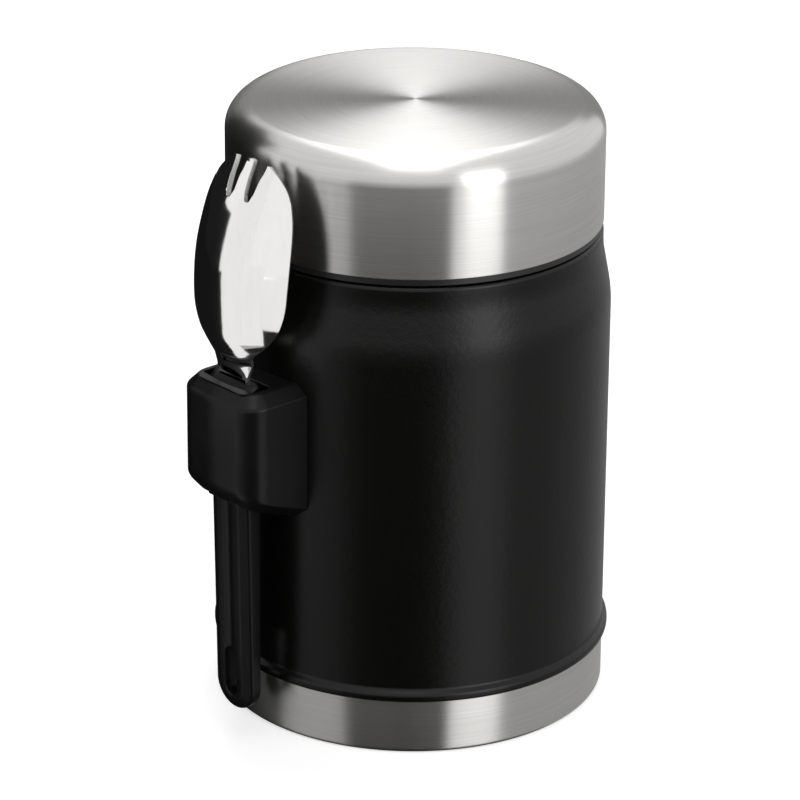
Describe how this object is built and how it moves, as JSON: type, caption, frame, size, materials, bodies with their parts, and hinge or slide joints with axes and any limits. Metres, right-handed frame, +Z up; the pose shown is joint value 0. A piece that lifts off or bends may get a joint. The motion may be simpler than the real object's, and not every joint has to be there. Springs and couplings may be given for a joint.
{
  "type": "insulated food jar",
  "caption": "Double-walled steel food jar with a screw lid, and a holder on its side that carries a spork with a steel head and a plastic handle.",
  "frame": {"origin": "centre of the ring that the jar stands on, at table height", "axes": "+Z up along the jar's axis; -Y towards the spork holder; +X to the right for someone who faces the holder"},
  "size_m": [0.0926, 0.107, 0.142],
  "materials": {
    "black_coating": "satin",
    "bare_steel": "satin",
    "inner_steel": "satin",
    "polished_steel": "polished",
    "copper_foil": "satin",
    "getter_grey": "matte",
    "zinc_steel": "satin",
    "sealing_rubber": "matte",
    "black_plastic": "satin",
    "liner_plastic": "satin",
    "foam": "matte",
    "grip_rubber": "matte"
  },
  "bodies": {
    "jar": {"outer_shell": "black_coating", "base_cup": "bare_steel", "vacuum_base": "inner_steel", "vacuum_seal": "zinc_steel", "getter_clip": "zinc_steel", "getter_pill": "getter_grey", "inner_vessel": "inner_steel", "heat_foil": "copper_foil", "neck_ring": "inner_steel", "holder_bracket": "inner_steel", "holder_screws": "zinc_steel", "spork_holder": "black_plastic", "holder_grips": "grip_rubber"},
    "lid_seal": {"lid_gasket": "sealing_rubber"},
    "lid": {"lid_shell": "bare_steel", "lid_liner": "liner_plastic", "lid_foam": "foam", "plug_cover": "liner_plastic"},
    "spork": {"spork_handle": "black_plastic", "spork_head": "polished_steel"}
  },
  "joints": [
    {"name": "lid_rise", "type": "slide", "parent": "jar", "child": "lid_seal", "axis": [0, 0, 1], "range_m": [0, 0.048]},
    {"name": "lid_turn", "type": "hinge", "parent": "lid_seal", "child": "lid", "pos_m": [0, 0, 0.13], "axis": [0, 0, 1], "range_deg": [0, 1080]},
    {"name": "spork_lift", "type": "slide", "parent": "jar", "child": "spork", "axis": [0, 0, 1], "range_m": [0, 0.086]}
  ],
  "couplings": [
    {"joint": "lid_rise", "follows": "lid_turn", "m_per_rad": 0.0025465}
  ]
}
